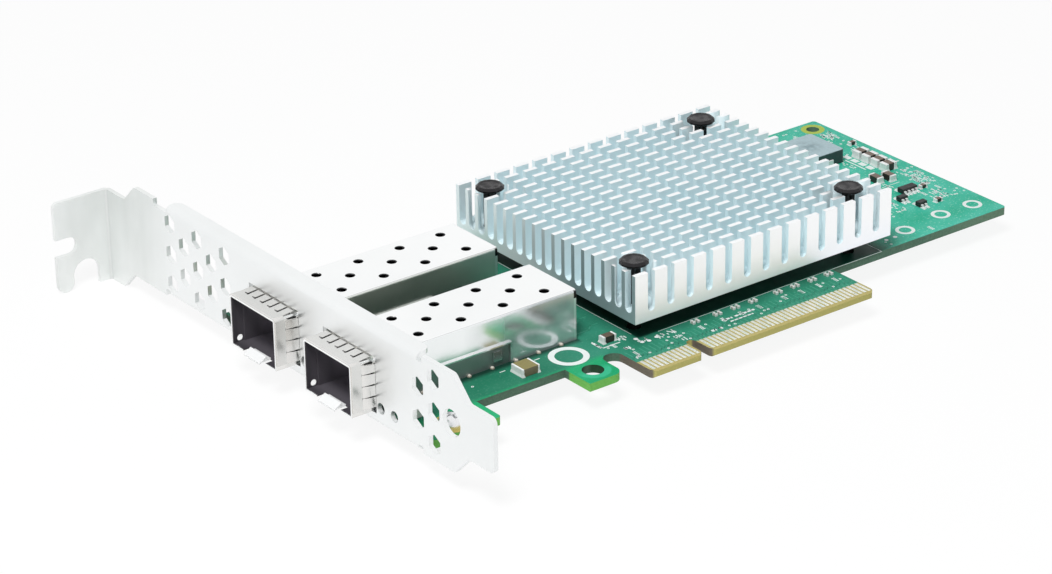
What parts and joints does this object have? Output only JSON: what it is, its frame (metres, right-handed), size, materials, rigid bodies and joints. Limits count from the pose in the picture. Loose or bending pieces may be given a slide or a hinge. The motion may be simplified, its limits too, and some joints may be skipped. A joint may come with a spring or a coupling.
{
  "type": "network interface card",
  "caption": "Flat plug-in network card with metal-caged module ports on a folded steel bracket, a cross-cut heat sink and a gold edge connector.",
  "frame": {"origin": "middle of the edge connector's key notch, at the connector's end on the component face", "axes": "+X from the bracket to the rear of the card, +Y from the edge connector to the bracket tab, +Z out of the component face"},
  "size_m": [0.1549, 0.1209, 0.0221],
  "materials": {
    "aluminium": "clear anodised, cross-cut",
    "black_nylon": "moulded nylon",
    "black_plastic": "moulded",
    "bright_steel": "bright stamped sheet",
    "brown_ceramic": "fired ceramic",
    "chip_carrier": "laminate carrier",
    "chip_plastic": "moulded epoxy",
    "clear_lens": "clear",
    "gold": "gold plating",
    "green_board": "solder-masked laminate",
    "grey_ferrite": "moulded powder core",
    "plated_steel": "bright nickel-plated sheet",
    "screw_steel": "plated",
    "silicon": "bare die",
    "solder": "tinned",
    "spring_steel": "bright spring strip",
    "tan_ceramic": "fired ceramic",
    "thermal_pad": "soft grey pad",
    "white_plastic": "moulded"
  },
  "bodies": {
    "root": {"bracket": "plated_steel", "bracket_screws": "screw_steel", "cage_shell_1": "bright_steel", "cage_shell_2": "bright_steel", "cage_tray_1": "bright_steel", "cage_tray_2": "bright_steel", "chip_carrier": "chip_carrier", "chip_die": "silicon", "circuit_board": "green_board", "coupling_capacitor_bodies": "brown_ceramic", "coupling_capacitor_terminals": "solder", "emi_collar_1": "spring_steel", "emi_collar_2": "spring_steel", "filter_capacitor_bodies": "brown_ceramic", "filter_capacitor_terminals": "solder", "front_capacitor_bodies": "tan_ceramic", "front_capacitor_terminals": "solder", "gold_fingers_back": "gold", "gold_fingers_front": "gold", "heat_sink": "aluminium", "inductor_leads": "solder", "led_bodies": "white_plastic", "led_lenses": "clear_lens", "memory_chip_body": "chip_plastic", "memory_chip_leads": "solder", "notch_capacitor_bodies": "brown_ceramic", "notch_capacitor_terminals": "solder", "port_socket_1": "black_plastic", "port_socket_2": "black_plastic", "power_inductor": "grey_ferrite", "push_pins": "black_nylon", "regulator_body": "chip_plastic", "regulator_leads": "solder", "small_capacitor_bodies": "brown_ceramic", "small_capacitor_terminals": "solder", "socket_contacts_1": "gold", "socket_contacts_2": "gold", "supply_capacitor_bodies": "brown_ceramic", "supply_capacitor_terminals": "solder", "thermal_pad": "thermal_pad"}
  },
  "joints": []
}
